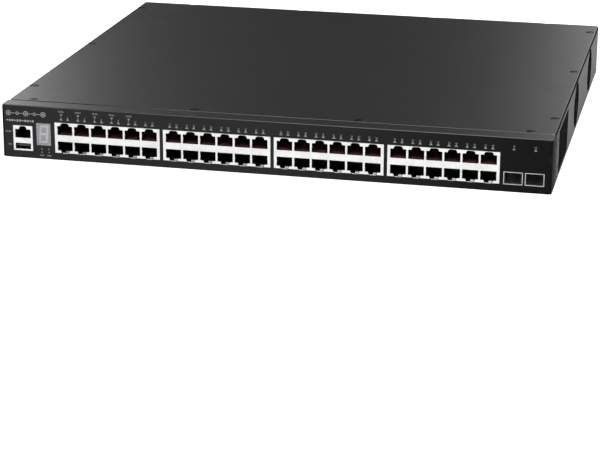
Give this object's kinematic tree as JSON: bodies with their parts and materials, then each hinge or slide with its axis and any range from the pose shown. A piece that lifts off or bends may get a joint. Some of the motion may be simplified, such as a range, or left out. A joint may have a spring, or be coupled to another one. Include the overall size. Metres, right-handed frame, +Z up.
{
  "type": "rackmount network switch",
  "caption": "Flat one-unit rackmount network switch: steel case, rows of shielded network jacks, uplink cages, status display, side fans and rear supply sockets.",
  "frame": {"origin": "middle of the case's flat bottom face", "axes": "-Y is the port side, +Y the rear, +X to the right of somebody facing the ports, +Z up"},
  "size_m": [0.44, 0.3992, 0.0432],
  "materials": {
    "powder_coat": "fine-textured satin black powder coat",
    "zinc_steel": "zinc plated",
    "black_zinc_steel": "black zinc plated",
    "tin_plate": "bright tin-plated sheet",
    "black_plastic": "moulded, satin",
    "window_plastic": "tinted translucent window",
    "clear_plastic": "clear light guide",
    "circuit_board": "solder mask over glass laminate",
    "black_aluminium": "black anodised",
    "bare_aluminium": "bare, satin",
    "chip_epoxy": "moulded epoxy",
    "transformer_tape": "polyester tape",
    "capacitor_sleeve": "shrink sleeve",
    "copper_winding": "enamelled copper wire",
    "cable_jacket": "bundled leads in a soft jacket"
  },
  "bodies": {
    "chassis": {"backup_supply_connector": "black_plastic", "bulk_capacitor_1": "capacitor_sleeve", "bulk_capacitor_2": "capacitor_sleeve", "chassis_floor": "powder_coat", "console_usb_housing": "black_plastic", "console_usb_shield": "tin_plate", "cover_screw_1": "black_zinc_steel", "cover_screw_2": "black_zinc_steel", "cover_screw_3": "black_zinc_steel", "cover_screw_4": "black_zinc_steel", "cover_screw_5": "black_zinc_steel", "cover_screw_6": "black_zinc_steel", "cover_screw_7": "black_zinc_steel", "cover_screw_8": "black_zinc_steel", "cover_screw_9": "black_zinc_steel", "cover_screw_10": "black_zinc_steel", "display_module": "black_plastic", "display_window": "window_plastic", "fan_frame_1": "black_plastic", "fan_frame_2": "black_plastic", "front_panel": "powder_coat", "ground_screw": "zinc_steel", "jack_housing_1": "black_plastic", "jack_housing_2": "black_plastic", "jack_housing_3": "black_plastic", "jack_housing_4": "black_plastic", "jack_shield_1": "tin_plate", "jack_shield_2": "tin_plate", "jack_shield_3": "tin_plate", "jack_shield_4": "tin_plate", "main_board": "circuit_board", "mains_choke": "copper_winding", "mains_inlet": "black_plastic", "module_guide_left": "black_plastic", "module_guide_right": "black_plastic", "phy_heat_sink_1": "bare_aluminium", "phy_heat_sink_2": "bare_aluminium", "port_light_guide": "clear_plastic", "power_board": "circuit_board", "power_harness": "cable_jacket", "power_heat_sink": "bare_aluminium", "power_transformer": "transformer_tape", "processor_chip": "chip_epoxy", "rear_panel": "powder_coat", "side_panel_left": "powder_coat", "side_panel_right": "powder_coat", "switch_chip": "chip_epoxy", "switch_heat_sink": "black_aluminium", "top_cover": "powder_coat", "uplink_cage_1": "tin_plate", "uplink_cage_2": "tin_plate", "uplink_connector_1": "black_plastic", "uplink_connector_2": "black_plastic"},
    "rotor_1": {"fan_rotor_1": "black_plastic"},
    "rotor_2": {"fan_rotor_2": "black_plastic"},
    "blank_plate": {"module_blank_plate": "powder_coat"},
    "plate_screw_1": {"thumbscrew_1": "zinc_steel"},
    "plate_screw_2": {"thumbscrew_2": "zinc_steel"}
  },
  "joints": [
    {"name": "fan_1_spin", "type": "hinge", "parent": "chassis", "child": "rotor_1", "pos_m": [0.2037, -0.008, 0.0211], "axis": [1, 0, 0], "continuous": true},
    {"name": "fan_2_spin", "type": "hinge", "parent": "chassis", "child": "rotor_2", "pos_m": [0.2037, 0.113, 0.0211], "axis": [1, 0, 0], "continuous": true},
    {"name": "blank_plate_off", "type": "slide", "parent": "chassis", "child": "blank_plate", "axis": [0, 1, 0], "range_m": [0, 0.06]},
    {"name": "plate_screw_1_turn", "type": "hinge", "parent": "blank_plate", "child": "plate_screw_1", "pos_m": [0.065, 0.1966, 0.022], "axis": [0, 1, 0], "continuous": true},
    {"name": "plate_screw_2_turn", "type": "hinge", "parent": "blank_plate", "child": "plate_screw_2", "pos_m": [0.185, 0.1966, 0.022], "axis": [0, 1, 0], "continuous": true}
  ]
}
